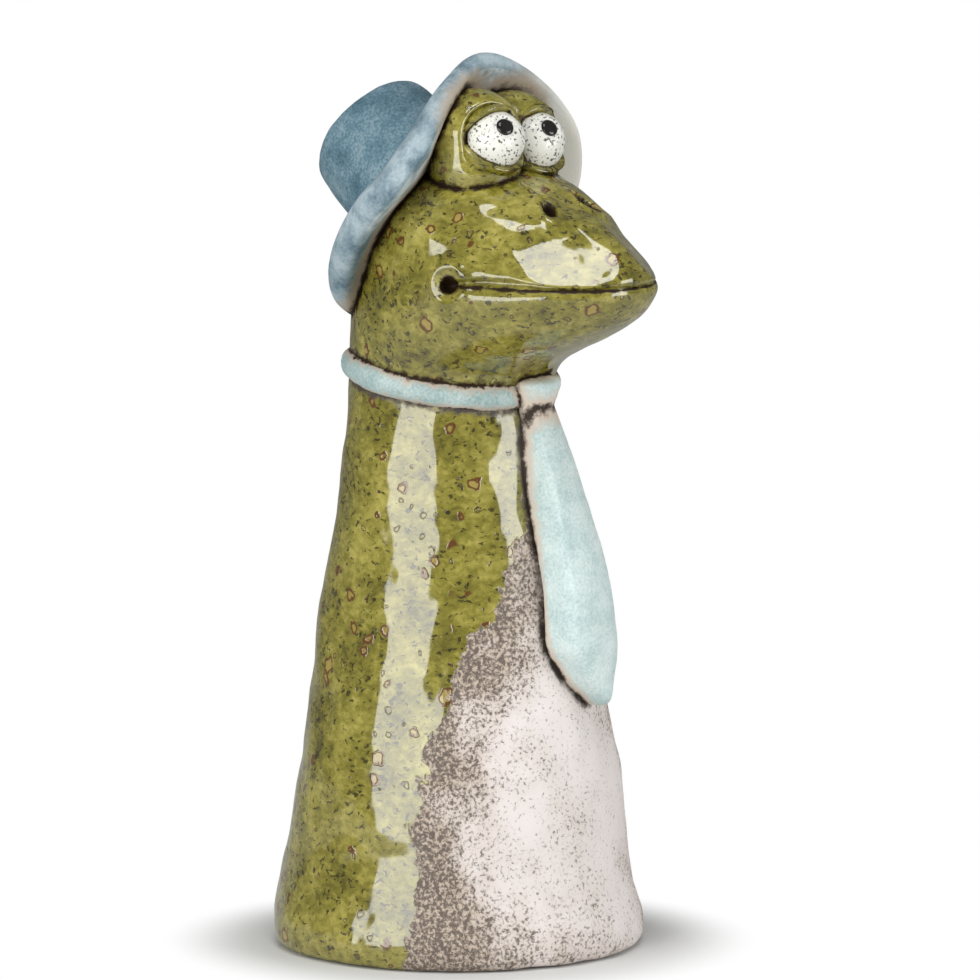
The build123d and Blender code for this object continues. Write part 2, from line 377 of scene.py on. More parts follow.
EYE_RADIUS = 10
MOUND_RADIUS = 15.6
EYE_PLACES = {"right": Vector((-11.5, -30.5, 45)), "left": Vector((9.6, -29, 42.4))}
EYE_OUTWARD = {"right": Vector((-0.45, -0.87, 0.2)), "left": Vector((0.2, -0.96, 0.2))}
MOUND_DRAWN_DOWN = 9
MOUND_SETBACK = 9.5
MOUND_SHIFT = 0.8
MOUND_HALF_GAP = 0.1
SOCKET_RADIUS = 10.5
SOCKET_FLOOR = 0.5
SOCKET_FLARE = 1.5
SOCKET_SILL = 0.45
eyes = {}
mounds = {}
head_across = mouth_frame.to_3x3() @ Vector((1, 0, 0))
for side_name, spot in EYE_PLACES.items():
    eyes[side_name] = mouth_frame @ Matrix.Translation(spot * MM)
    side = math.copysign(1, spot.x)
    outward = EYE_OUTWARD[side_name].normalized()
    mound = sphere(side_name + "_lump_piece", MOUND_RADIUS, 64, 48)
    for point in mound.data.vertices:
        if point.co.z < 0:
            point.co.z -= MOUND_DRAWN_DOWN * MM
        point.co += Vector((-MOUND_SHIFT * side, MOUND_SETBACK, MOUND_SHIFT)) * MM
        ahead = point.co.dot(outward) / MM
        aside = (point.co / MM - outward * ahead).length
        flare = max(0, aside - SOCKET_RADIUS) * SOCKET_FLARE
        limit = SOCKET_FLOOR + flare + max(0, -point.co.z / MM) * SOCKET_SILL
        if ahead > limit:
            point.co -= outward * (ahead - limit) * MM
    place(mound, eyes[side_name])
    round_off(mound, 1)
    uneven(mound, 14, 1.0)
    parting = mouth_frame.translation + head_across * side * MOUND_HALF_GAP * MM
    cut(mound, parting, head_across * side, True)
    smooth_faces(mound)
    mounds[side_name] = mound

# %% [markdown]
# The eyeball's pole is turned to where the frog looks, so that its rings run round the pupil. One ring is
# pushed in, as the tool that set the pupil left it. The pupil is a small dome in that ring.

# %% Eyeballs and pupils
GAZE_TURNS = {"right": 21, "left": 10}
GAZE_LIFT = 35
GROOVE_RADIUS = 3.4
GROOVE_WIDTH = 0.6
GROOVE_DEPTH_SHARE = 0.07
# height above the middle of the eye, radius
PUPIL_PROFILE = [(8.6, 1.5), (8.6, 2.7), (9.2, 3.1), (9.8, 2.9), (10.25, 2.2), (10.4, 1.1)]


def round_rings(profile):
    return [(0, 0, z, radius, radius) for z, radius in profile]


eyeballs = {}
pupils = {}
for side_name, eye in eyes.items():
    gaze = eye @ (turned(-GAZE_TURNS[side_name], "Z") @ turned(90 - GAZE_LIFT, "X"))
    ball = sphere(side_name + "_eyeball_piece", EYE_RADIUS, 64, 48)
    for point in ball.data.vertices:
        off_axis = math.hypot(point.co.x, point.co.y) / MM
        if point.co.z > 0 and off_axis < GROOVE_RADIUS + 2 * GROOVE_WIDTH:
            nearness = math.exp(-(((off_axis - GROOVE_RADIUS) / GROOVE_WIDTH) ** 2))
            point.co *= 1 - GROOVE_DEPTH_SHARE * nearness
    round_off(ball, 1)
    place(ball, gaze)
    uneven(ball, 7, 0.35)
    smooth_faces(ball)
    eyeballs[side_name] = ball
    pupil = stack_rings(side_name + "_pupil_piece", round_rings(PUPIL_PROFILE), 24)
    round_off(pupil, 2)
    place(pupil, gaze)
    smooth_faces(pupil)
    pupils[side_name] = pupil

# %% [markdown]
# A lid is a cap of clay over the ball: a slightly larger sphere, cut flat where the eye opens, with its cut
# edge rounded by a bevel. The lower cup is thicker than the upper lid.

# %% Lids
# name, lean in degrees, height of the cut, thickness
LIDS = [("upper", -48, 5.4, 2.2), ("lower", 215, 2.6, 2.4)]
LID_EDGE_ROUND = 0.9
lids = {}
for side_name, eye in eyes.items():
    for lid_name, lean, opening, thickness in LIDS:
        lid = sphere(side_name + "_" + lid_name + "_lid_piece", EYE_RADIUS + thickness, 48, 40)
        cut(lid, (0, 0, opening * MM), (0, 0, 1), True)
        bpy.ops.object.mode_set(mode="EDIT")
        bpy.ops.mesh.bevel(offset=LID_EDGE_ROUND * MM, segments=3, affect="EDGES")
        bpy.ops.object.mode_set(mode="OBJECT")
        place(lid, eye @ turned(lean, "X"))
        uneven(lid, 6, 0.5)
        smooth_faces(lid)
        lids[side_name + "_" + lid_name] = lid

# %% [markdown]
# ## Hat
# The brim is a thick round slab, bent over the head at its sides. It is modelled flat, ring by ring with a
# rounded rim, and its points are then lifted by the bend.

# %% Brim
BRIM_RADIUS = 51.5
# half thickness, radius
RIM_HALF_PROFILE = [(4, 6), (4, 18), (4, 30), (4, 42), (3.8, 48.5), (2.4, 51.2)]
rim_under = [(-z, radius) for z, radius in RIM_HALF_PROFILE]
brim_rings = round_rings(rim_under + [(0, 52)] + RIM_HALF_PROFILE[::-1])
brim = stack_rings("brim_piece", brim_rings, 48)
round_off(brim, 3)
print("brim rings:", len(brim_rings))

# %% [markdown]
# The potter bent the rim by hand, so it rises and falls all the way round. A few heights are enough if a
# smooth curve runs through them, with the slope at each taken from its two neighbours. Straight steps would
# show as ripples.

# %% The rim's wave
# angle from the nape round by the frog's right side, rim height there, share of the radius
RIM_SHAPE = [
    (0, -7, 1), (25, -9, 0.975), (50, -11, 0.955), (75, -12, 0.957), (95, -13, 0.972), (112, -15, 0.995),
    (130, -12, 1), (146, -5.5, 1), (160, 0.2, 1), (172, 4, 1), (182, 4.6, 0.99), (200, 0.8, 0.965),
    (218, -5.4, 0.967), (240, -12, 0.99), (270, -17.5, 1), (300, -14.4, 1), (330, -8.6, 1), (360, -7, 1),
]
BRIM_DISH = 8


def rim_at(x, y):
    angle = math.degrees(math.atan2(-x, y)) % 360
    step = max(1, next(index for index, row in enumerate(RIM_SHAPE) if angle <= row[0]))
    nearby = [max(0, step - 2), step - 1, step, min(step + 1, len(RIM_SHAPE) - 1)]
    angles, heights, shares = zip(*[RIM_SHAPE[index] for index in nearby])
    span = angles[2] - angles[1]
    t = (angle - angles[1]) / span
    curve = []
    for before, start, end, after in (heights, shares):
        slope_start = (end - before) / (angles[2] - angles[0]) * span
        slope_end = (after - start) / (angles[3] - angles[1]) * span
        rise = end - start
        bulge = 3 * rise - 2 * slope_start - slope_end
        twist = slope_start + slope_end - 2 * rise
        curve.append(start + t * (slope_start + t * (bulge + t * twist)))
    return angle, curve[0], curve[1]


def brim_lift(x, y):
    _, rim, _ = rim_at(x, y)
    reach = math.hypot(x, y) / BRIM_RADIUS
    dish = BRIM_DISH * max(0, -y / BRIM_RADIUS) * max(0, 1 - reach * reach)
    return rim * reach**1.6 + dish


print("rim heights:", [row[1] for row in RIM_SHAPE])

# %% [markdown]
# The same loop notes where the slip is thin: on the underside at the frog's left, and a little on the rim.
# It also notes painted light: the underside lies in shade and is painted paler, most of all in front. The
# underside is thicker at the frog's right, as in the photo.

# %% Bend the brim
NEAR_THICKENING = 3.8


def store(piece, name, values):
    piece.data.attributes.new(name, "FLOAT", "POINT").data.foreach_set("value", values)


rim_wear_and_painted_light = []
thin_slip = []
for point in brim.data.vertices:
    x, y, z = point.co / MM
    angle, _, share = rim_at(x, y)
    reach = math.hypot(x, y)
    # painted light: the underside lies in shade, so it is painted paler, most of all in front; the rim's
    # share below is real wear
    painted_underside_light = 0.2 + 0.75 * ramp_up(y, 12, -8) if z < 0 and reach < 49 else 0
    rim_wear_and_painted_light.append(max(painted_underside_light, min(0.4, ramp_up(reach, 43, 58))))
    thin_slip.append(ramp_up(x, 8, 38) if z < 0 else 0)
    lift = brim_lift(x, y)
    if z < 0:
        near = ramp_up(angle, -10, 20) * ramp_up(angle, 168, 133)
        lift -= NEAR_THICKENING * near * ramp_up(-z, 0, 4) * ramp_up(reach, 0, 30)
    point.co = Vector((x * share, y * share, z + lift)) * MM
store(brim, "rim_wear_and_painted_light", rim_wear_and_painted_light)
store(brim, "thin_slip", thin_slip)
place(brim, hat_frame)
uneven(brim, 34, 1.0)
uneven(brim, 9, 0.2)
smooth_faces(brim)

# %% [markdown]
# The crown is a tapered wall with a disc on its end, smoothed over as one. So it is one stack on the brim's
# back, cut at the seam.

# %% Crown and its closing disc
# height above the brim, radius
CROWN_PROFILE = [
    (-3, 8), (-3, 20), (-2.5, 25), (4, 25), (12, 24.3), (21, 23.5), (27.5, 22.9), (31, 22.2), (33, 20.2),
    (33.8, 16.5), (33.9, 8),
]
CROWN_SEAM = 29.5
CROWN_ASIDE = 0.8
CROWN_BACK = 5
crown = stack_rings("crown", round_rings(CROWN_PROFILE), 48)
round_off(crown, 3)
crown_frame = hat_frame @ shifted(CROWN_ASIDE, CROWN_BACK, 0)
place(crown, crown_frame)
uneven(crown, 22, 1.4)
uneven(crown, 6, 0.4)
crown_seam = crown_frame @ Vector((0, 0, CROWN_SEAM * MM))
crown_axis = crown_frame.to_3x3() @ Vector((0, 0, 1))
hat_crown, hat_top = cut_in_two(crown, crown_seam, crown_axis, "crown_piece", "crown_top_piece")
smooth_faces(hat_crown)
smooth_faces(hat_top)

# %% [markdown]
# The hat was pressed on while the clay was soft, so the back of the head and of the eye lumps is flattened
# against the brim. Points that would come out behind the brim are moved along the hat's axis into its middle.

# %% Flatten the head against the brim
from_hat = hat_frame.inverted()
for piece in (lower_jaw, upper_head, *mounds.values()):
    for point in piece.data.vertices:
        local = from_hat @ point.co / MM
        if math.hypot(local.x, local.y) < BRIM_RADIUS:
            local.z = min(local.z, brim_lift(local.x, local.y))
            point.co = hat_frame @ (local * MM)
    piece.data.update()
print("head flattened against the brim")

# %% [markdown]
# ## Neck band and tie
# The band is a rolled coil of clay round the neck. It could be a bevelled curve, but a ring that is made
# uneven afterwards is simpler and stays closed.

# %% Neck band
BAND_RADIUS = 4.7
BAND_RING_RADIUS = 31.6
clear_selection()
bpy.ops.mesh.primitive_torus_add(
    major_segments=192, minor_segments=24, major_radius=BAND_RING_RADIUS * MM, minor_radius=BAND_RADIUS * MM
)
band = bpy.context.object
band.name = "band_piece"
place(band, neck_frame)
uneven(band, 16, 1.1)
uneven(band, 5, 0.4)
smooth_faces(band)

# %% [markdown]
# The knot is a lump pinched narrow below, with a dimple where a thumb pressed it. It is a short stack of
# ovals, and the dimple is made by moving points.

# %% Knot
KNOT_REACH = 36
DIMPLE_WIDTH = 1.6
DIMPLE_SLOPE = 0.16
# height, half width, half depth
KNOT_OVALS = [
    (-9, 3, 1.6), (-9, 6, 3.4), (-4, 7.6, 4.6), (1, 9, 5.4), (4, 9.8, 5.7), (6, 9.2, 5.2), (7, 6, 3),
]
knot_rings = [(0, 0, z, width, depth) for z, width, depth in KNOT_OVALS]
knot = stack_rings("knot_piece", knot_rings, 32)
round_off(knot, 3)
for point in knot.data.vertices:
    dimple = math.exp(-(((point.co.x / MM) / DIMPLE_WIDTH) ** 2)) * max(0, -point.co.z / MM) * DIMPLE_SLOPE
    if point.co.y < 0:
        point.co.y += dimple * MM
place(knot, neck_frame @ shifted(0, -KNOT_REACH, 0))
uneven(knot, 8, 1.2)
smooth_faces(knot)

# %% [markdown]
# The blade is a thick tongue of clay pressed on the belly, fullest below its middle and swung a little to
# the frog's left. A solid block would have to be bent round the cone. A flat grid laid on the cone row by
# row, and then thickened by an extrusion, follows it from the start.

# %% Blade of the tie
BLADE_TOP = 186
BLADE_TIP = 83
BLADE_SHOULDER = 104
BLADE_SWING = 3.5
BLADE_TIP_SWING = 4.5
BLADE_TOP_HALF_WIDTH = 6
BLADE_HALF_WIDTH = 14.5
BLADE_TIP_HALF_WIDTH = 0.8
BLADE_EDGE = 4
BLADE_FULLNESS = 12
BLADE_CROWN = 1.2
BLADE_DEPTH = 13
BELLY_SETBACK = 2.7


def body_radius(z):
    for (low_z, _, low_radius), (high_z, _, high_radius) in zip(BODY_PROFILE, BODY_PROFILE[1:]):
        if low_z <= z <= high_z and high_z > low_z:
            return low_radius + (high_radius - low_radius) * (z - low_z) / (high_z - low_z)
    return BODY_PROFILE[-1][2]


def blade_half_width(z):
    if z > BLADE_SHOULDER:
        share = (BLADE_TOP - z) / (BLADE_TOP - BLADE_SHOULDER)
        return BLADE_TOP_HALF_WIDTH + (BLADE_HALF_WIDTH - BLADE_TOP_HALF_WIDTH) * share
    share = ((z - BLADE_TIP) / (BLADE_SHOULDER - BLADE_TIP)) ** 0.75
    return BLADE_TIP_HALF_WIDTH + (BLADE_HALF_WIDTH - BLADE_TIP_HALF_WIDTH) * share


clear_selection()
bpy.ops.mesh.primitive_grid_add(x_subdivisions=8, y_subdivisions=20, size=2)
blade = bpy.context.object
blade.name = "blade_piece"
for point in blade.data.vertices:
    across = point.co.x
    z = BLADE_TIP + (BLADE_TOP - BLADE_TIP) * (point.co.y + 1) / 2
    down = (BLADE_TOP - z) / (BLADE_TOP - BLADE_TIP)
    skew = BLADE_TIP_SWING * max(0, (down - 0.75) / 0.25) ** 2
    x = BLADE_SWING * down + skew + across * blade_half_width(z)
    fullness = BLADE_FULLNESS * math.sin(math.pi * min(1, down * 0.8))
    thickness = BLADE_EDGE + fullness - BLADE_CROWN * across * across
    y = BELLY_SETBACK - math.sqrt(body_radius(z) ** 2 - x * x) - thickness
    point.co = Vector((x, y, z)) * MM
edit_all(blade)
bpy.ops.mesh.extrude_region_move(TRANSFORM_OT_translate={"value": (0, BLADE_DEPTH * MM, 0)})
face_outward(blade)
round_off(blade, 3)
uneven(blade, 14, 0.9)
smooth_faces(blade)

# %% [markdown]
# ## Joints filled with dark wash
# A brown wash was rubbed over the fired clay and stayed in every joint and pressed mark. The shader needs to
# know how near a joint is, so each point stores its distance to the touching pieces, in millimetres. Painting
# the wash by hand would have to be done again after every change of shape.

# %% Distance to the joints
FAR_GAP = 20.0
MARK_REACH = 9


def mark_joints(piece, neighbours, marks=(), stretch=1.0):
    graph = bpy.context.evaluated_depsgraph_get()
    trees = [BVHTree.FromObject(neighbour, graph) for neighbour in neighbours]
    gaps = []
    for point in piece.data.vertices:
        gap = FAR_GAP
        for tree in trees:
            spot, _, _, distance = tree.find_nearest(point.co, FAR_GAP * MM)
            if spot is not None:
                gap = min(gap, distance / MM)
        for spot, outward, uphill, shortening, pit_mm in marks:
            offset = (point.co - spot) / MM
            flat = offset - outward * offset.dot(outward)
            flat -= uphill * flat.dot(uphill) * shortening
            if offset.length < MARK_REACH:
                gap = min(gap, 2 * (flat.length - 0.9 * pit_mm))
        gaps.append(stretch * gap)
    store(piece, "joint_gap", gaps)
    return gaps

# %% Joints of the body, the tie and the hat
eye_pieces = list(mounds.values())
hat_up = hat_frame.to_3x3() @ Vector((0, 0, 1))
mark_joints(body_wall, [band, blade, knot])
mark_joints(band, [body_wall, lower_jaw, knot])
mark_joints(knot, [band, blade, lower_jaw])
mark_joints(blade, [body_wall, knot, band])
for piece in (base_slab, hat_crown, hat_top):
    mark_joints(piece, [])
gaps = mark_joints(brim, [lower_jaw, upper_head, *eye_pieces])
# the head lies under the brim, so the brim's outside has no joint with it
for index, point in enumerate(brim.data.vertices):
    if point.normal.dot(hat_up) > 0.3:
        gaps[index] = FAR_GAP
brim.data.attributes["joint_gap"].data.foreach_set("value", gaps)
print("joints of", brim.name, "from", round(min(gaps), 2), "mm")

# %% Joints of the head and the eyes
MOUTH_LINE_HALF = 0.4
MOUTH_LINE_FADE = 3.4
EYE_STRETCH = 2.5
to_mouth = mouth_frame.inverted()
for half in (lower_jaw, upper_head):
    gaps = mark_joints(half, [brim, band, knot, *eye_pieces], pressed_marks)
    for index, point in enumerate(half.data.vertices):
        local = to_mouth @ point.co / MM
        if local.y < -MOUTH_CORNER - 1:
            gaps[index] = min(gaps[index], max(0.0, MOUTH_LINE_FADE * abs(local.z) - MOUTH_LINE_HALF))
    half.data.attributes["joint_gap"].data.foreach_set("value", gaps)
for side_name, mound in mounds.items():
    own_lids = [lids[side_name + "_upper"], lids[side_name + "_lower"]]
    other = mounds["left" if side_name == "right" else "right"]
    mark_joints(mound, [brim, upper_head, other, eyeballs[side_name]])
    mark_joints(eyeballs[side_name], [mound, *own_lids], stretch=EYE_STRETCH)
    for lid in own_lids:
        mark_joints(lid, [eyeballs[side_name]], stretch=EYE_STRETCH)
print("joints of the head and of", len(eyes), "eyes marked")

# %% [markdown]
# ## Where the glaze ends
# The belly is left without glaze. The border is lowest at the sides and meets under the tie. It could be a
# cut in the mesh, but then it would be too sharp, so each point of the body stores how far it lies inside
# the belly, in millimetres along the surface.

# %% Belly depth
# height, degrees from the front to the border
BELLY_HALF_ANGLES = [
    (0, 68), (22, 66), (48, 68), (61, 63), (74, 64), (88, 58), (104, 50), (114, 40), (127, 31), (147, 15),
    (175, 2),
]
BELLY_AXIS_SETBACK = 1.5


def belly_half_angle(z):
    for (low_z, low_angle), (high_z, high_angle) in zip(BELLY_HALF_ANGLES, BELLY_HALF_ANGLES[1:]):
        if z <= high_z:
            return low_angle + (high_angle - low_angle) * max(0, z - low_z) / (high_z - low_z)
    top_z, top_angle = BELLY_HALF_ANGLES[-1]
    return top_angle - (z - top_z)


for piece in (base_slab, body_wall):
    depths = []
    for point in piece.data.vertices:
        x, y, z = point.co / MM
        angle = abs(math.degrees(math.atan2(x, -(y - BELLY_AXIS_SETBACK))))
        radius = math.hypot(x, y)
        depths.append(math.radians(belly_half_angle(z) - angle) * radius)
    store(piece, "belly_depth", depths)
    print(piece.name, "lies up to", round(max(depths)), "mm inside the belly")

# %% [markdown]
# ## Finishes
# Colours are written as on a paint card and turned to linear light by one function. One function adds a
# node, and another sets or links its inputs.


# %% Colours and nodes
def colour(card):
    parts = [int(card[i : i + 2], 16) / 255 for i in (1, 3, 5)]
    return [part / 12.92 if part <= 0.04045 else ((part + 0.055) / 1.055) ** 2.4 for part in parts] + [1]


def fill(tree, node, inputs):
    for name, value in inputs.items():
        if isinstance(value, bpy.types.NodeSocket):
            tree.links.new(value, node.inputs[name])
        else:
            node.inputs[name].default_value = value


def add(tree, kind, inputs, **settings):
    node = tree.nodes.new("ShaderNode" + kind)
    for name, value in settings.items():
        setattr(node, name, value)
    fill(tree, node, inputs)
    return node


def new_finish(name):
    finish = bpy.data.materials.new(name)
    finish.use_nodes = True
    tree = finish.node_tree
    shader = tree.nodes["Principled BSDF"]
    point = add(tree, "TexCoord", {}).outputs["Object"]
    return finish, tree, shader, point


def per_metre(size_mm):
    return 1 / (size_mm * MM)

# %% [markdown]
# Olive glaze is a glossy glass layer. It ran and pooled, so its colour drifts between yellow green and dark
# olive, it has dark flecks, and brown-ringed blisters a few millimetres across. A picture of a glaze would
# have seams here, so all of it comes from noise in space. A blister is a ring about the middle of a cell.


# %% Ringed blisters
def ring_spots(tree, point, cell_mm, share):
    cells = add(tree, "TexVoronoi", {"Vector": point, "Scale": per_metre(cell_mm)})
    drawn = add(tree, "SeparateColor", {"Color": cells.outputs["Color"]})
    present = add(tree, "Math", {0: drawn.outputs[1], 1: 1 - share}, operation="GREATER_THAN")
    radius = add(tree, "MapRange", {"Value": drawn.outputs[0], "To Min": 0.08, "To Max": 0.26})
    beyond = add(tree, "Math", {0: cells.outputs["Distance"], 1: radius.outputs[0]}, operation="SUBTRACT")
    beside = add(tree, "Math", {0: beyond.outputs[0]}, operation="ABSOLUTE")
    line = add(tree, "MapRange", {"Value": beside.outputs[0], "From Min": 0.06, "From Max": 0.02})
    core = add(tree, "MapRange", {"Value": beyond.outputs[0], "From Min": 0.0, "From Max": -0.06})
    ring = add(tree, "Math", {0: line.outputs[0], 1: present.outputs[0]}, operation="MULTIPLY")
    heart = add(tree, "Math", {0: core.outputs[0], 1: present.outputs[0]}, operation="MULTIPLY")
    return ring.outputs[0], heart.outputs[0]

# %% [markdown]
# The base colour follows two noises: pools about 16 mm across and finer streaks. Flecks crowd together
# where the pools are dark, and small and large rings lie on top. The cells are swayed so that no ring is a
# perfect circle.

# %% Colours of the glaze
SWAY = (0.0042, 0.0042, 0.0042)


def glaze_colours(tree, point):
    drift = add(tree, "TexNoise", {"Vector": point, "Scale": per_metre(4), "Detail": 2.0})
    shaken = add(tree, "VectorMath", {0: drift.outputs["Color"], 1: SWAY, 2: point}, operation="MULTIPLY_ADD")
    low = add(tree, "VectorMath", {0: shaken.outputs[0], 1: (1, 1, 1.6)}, operation="MULTIPLY")
    pools = add(tree, "TexNoise", {"Vector": point, "Scale": per_metre(16), "Detail": 3.0, "Roughness": 0.6})
    streaks = add(
        tree,
        "TexNoise",
        {"Vector": low.outputs[0], "Scale": per_metre(3.4), "Detail": 4.0, "Roughness": 0.65},
    )
    tone = add(tree, "Mix", {0: 0.5, 2: pools.outputs["Fac"], 3: streaks.outputs["Fac"]}, data_type="FLOAT")
    ramp = add(tree, "ValToRGB", {"Fac": tone.outputs[0]})
    stops = ramp.color_ramp.elements
    stops[0].position = 0.36
    stops[0].color = colour("#524c14")
    stops[1].position = 0.66
    stops[1].color = colour("#aaa050")
    stops.new(0.5).color = colour("#7e772b")
    flecks = add(tree, "TexNoise", {"Vector": low.outputs[0], "Scale": per_metre(2.3), "Detail": 2.0})
    crowd = add(
        tree,
        "MapRange",
        {"Value": pools.outputs["Fac"], "From Min": 0.35, "From Max": 0.65, "To Min": 0.04, "To Max": -0.04},
    )
    dense = add(tree, "Math", {0: flecks.outputs["Fac"], 1: crowd.outputs[0]}, operation="ADD")
    fleck = add(
        tree, "MapRange", {"Value": dense.outputs[0], "From Min": 0.6, "From Max": 0.66, "To Max": 0.85}
    )
    dotted = add(
        tree, "Mix", {0: fleck.outputs[0], 6: ramp.outputs[0], 7: colour("#272107")}, data_type="RGBA"
    )
    small_ring, _ = ring_spots(tree, shaken.outputs[0], 4.6, 0.36)
    pitted = add(tree, "Mix", {0: small_ring, 6: dotted.outputs[2], 7: colour("#43330f")}, data_type="RGBA")
    ring, heart = ring_spots(tree, shaken.outputs[0], 9.5, 0.62)
    blister = add(tree, "Math", {0: heart, 1: 0.6}, operation="MULTIPLY")
    cored = add(
        tree, "Mix", {0: blister.outputs[0], 6: pitted.outputs[2], 7: colour("#a48c48")}, data_type="RGBA"
    )
    ringed = add(tree, "Mix", {0: ring, 6: cored.outputs[2], 7: colour("#5e3a12")}, data_type="RGBA")
    relief = add(tree, "Math", {0: ring, 1: small_ring}, operation="SUBTRACT")
    return ringed.outputs[2], relief.outputs[0]

# %% [markdown]
# The wash lies in the joints with a ragged border: noise shifts the stored distance before it is compared.
# It is matt, so the glaze loses its gloss there.

# %% Wash, and the olive glaze with it
GLAZE_IOR = 1.8
WASH_BROWN = "#33261b"


def wash_amount(tree, point, reach_mm):
    gap = add(tree, "Attribute", {}, attribute_name="joint_gap")
    ragged = add(tree, "TexNoise", {"Vector": point, "Scale": per_metre(4), "Detail": 4.0, "Roughness": 0.7})
    shift = add(
        tree,
        "MapRange",
        {"Value": ragged.outputs["Fac"], "From Min": 0.3, "From Max": 0.7, "To Min": -1.2, "To Max": 1.2},
    )
    rough_gap = add(tree, "Math", {0: gap.outputs["Fac"], 1: shift.outputs[0]}, operation="ADD")
    wash = add(
        tree, "MapRange", {"Value": rough_gap.outputs[0], "From Min": reach_mm, "From Max": 0.25 * reach_mm}
    )
    return wash.outputs[0], rough_gap.outputs[0]


olive_glaze, tree, shader, point = new_finish("olive_glaze")
green, relief = glaze_colours(tree, point)
wash, _ = wash_amount(tree, point, 2.2)
washed = add(tree, "Mix", {0: wash, 6: green, 7: colour("#2a1d10")}, data_type="RGBA")
gloss = add(tree, "MapRange", {"Value": wash, "To Min": 0.08, "To Max": 0.55})
sheen = add(tree, "MapRange", {"Value": wash, "To Min": 0.5, "To Max": 0.08})
bump = add(tree, "Bump", {"Strength": 0.25, "Distance": 0.2 * MM, "Height": relief})
fill(tree, shader, {"Base Color": washed.outputs[2], "Roughness": gloss.outputs[0], "IOR": GLAZE_IOR})
fill(tree, shader, {"Specular IOR Level": sheen.outputs[0], "Normal": bump.outputs[0]})
print(olive_glaze.name)

# %% [markdown]
# The body has both finishes: glaze on the sides and back, and a matt pale engobe on the belly. The engobe
# is thinner along the glaze and at the foot, and the clay shows through it there. A border that follows the
# stored depth alone would be too even, so noise moves it.

# %% Border and cover of the belly
glaze_and_belly, tree, shader, point = new_finish("olive_glaze_and_engobe")
green, glaze_relief = glaze_colours(tree, point)
depth = add(tree, "Attribute", {}, attribute_name="belly_depth")
wander = add(tree, "TexNoise", {"Vector": point, "Scale": per_metre(9), "Detail": 5.0, "Roughness": 0.6})
shift = add(
    tree,
    "MapRange",
    {"Value": wander.outputs["Fac"], "From Min": 0.25, "From Max": 0.75, "To Min": -6.0, "To Max": 6.0},
)
inside = add(tree, "Math", {0: depth.outputs["Fac"], 1: shift.outputs[0]}, operation="ADD")
bare = add(tree, "MapRange", {"Value": inside.outputs[0], "From Min": -0.3, "From Max": 0.3})
patches = add(tree, "TexNoise", {"Vector": point, "Scale": per_metre(22), "Detail": 4.0, "Roughness": 0.6})
cover = add(
    tree,
    "MapRange",
    {"Value": inside.outputs[0], "From Min": 1.0, "From Max": 40.0, "To Min": 0.06, "To Max": 0.37},
)
thickness = add(
    tree, "Math", {0: patches.outputs["Fac"], 1: 0.55, 2: cover.outputs[0]}, operation="MULTIPLY_ADD"
)
height = add(tree, "SeparateXYZ", {"Vector": point})
foot = add(
    tree,
    "MapRange",
    {"Value": height.outputs["Z"], "From Min": 0.004, "From Max": 0.05, "To Min": -0.12, "To Max": 0.0},
)
cover_sum = add(tree, "Math", {0: thickness.outputs[0], 1: foot.outputs[0]}, operation="ADD")
paleness = add(tree, "ValToRGB", {"Fac": cover_sum.outputs[0]})
stops = paleness.color_ramp.elements
stops[0].position = 0.36
stops[0].color = colour("#b8a896")
stops[1].position = 0.66
stops[1].color = colour("#e0d8d5")
stops.new(0.5).color = colour("#d2c7c0")
print("nodes for the belly's cover:", len(tree.nodes))

# %% [markdown]
# The belly is peppered with dark grog, densest where the engobe is thin. Glaze and belly are mixed at the
# border, and so are their gloss and their relief.

# %% Glazed body with a bare belly
grog = add(tree, "TexNoise", {"Vector": point, "Scale": per_metre(1.2), "Detail": 4.0, "Roughness": 0.7})
sparse = add(
    tree,
    "MapRange",
    {"Value": cover_sum.outputs[0], "From Min": 0.34, "From Max": 0.7, "To Min": 0.13, "To Max": -0.08},
)
pepper_sum = add(tree, "Math", {0: grog.outputs["Fac"], 1: sparse.outputs[0]}, operation="ADD")
pepper = add(
    tree, "MapRange", {"Value": pepper_sum.outputs[0], "From Min": 0.53, "From Max": 0.66, "To Max": 0.92}
)
belly = add(
    tree, "Mix", {0: pepper.outputs[0], 6: paleness.outputs[0], 7: colour("#4b3d33")}, data_type="RGBA"
)
both = add(tree, "Mix", {0: bare.outputs[0], 6: green, 7: belly.outputs[2]}, data_type="RGBA")
wash, _ = wash_amount(tree, point, 2.4)
washed = add(tree, "Mix", {0: wash, 6: both.outputs[2], 7: colour(WASH_BROWN)}, data_type="RGBA")
dull = add(tree, "Math", {0: bare.outputs[0], 1: wash}, operation="MAXIMUM")
gloss = add(tree, "MapRange", {"Value": dull.outputs[0], "To Min": 0.09, "To Max": 0.75})
relief = add(tree, "Mix", {0: bare.outputs[0], 2: glaze_relief, 3: grog.outputs["Fac"]}, data_type="FLOAT")
bump = add(tree, "Bump", {"Strength": 0.3, "Distance": 0.3 * MM, "Height": relief.outputs[0]})
fill(tree, shader, {"Base Color": washed.outputs[2], "Roughness": gloss.outputs[0]})
fill(tree, shader, {"Normal": bump.outputs[0], "IOR": GLAZE_IOR})
print(glaze_and_belly.name)
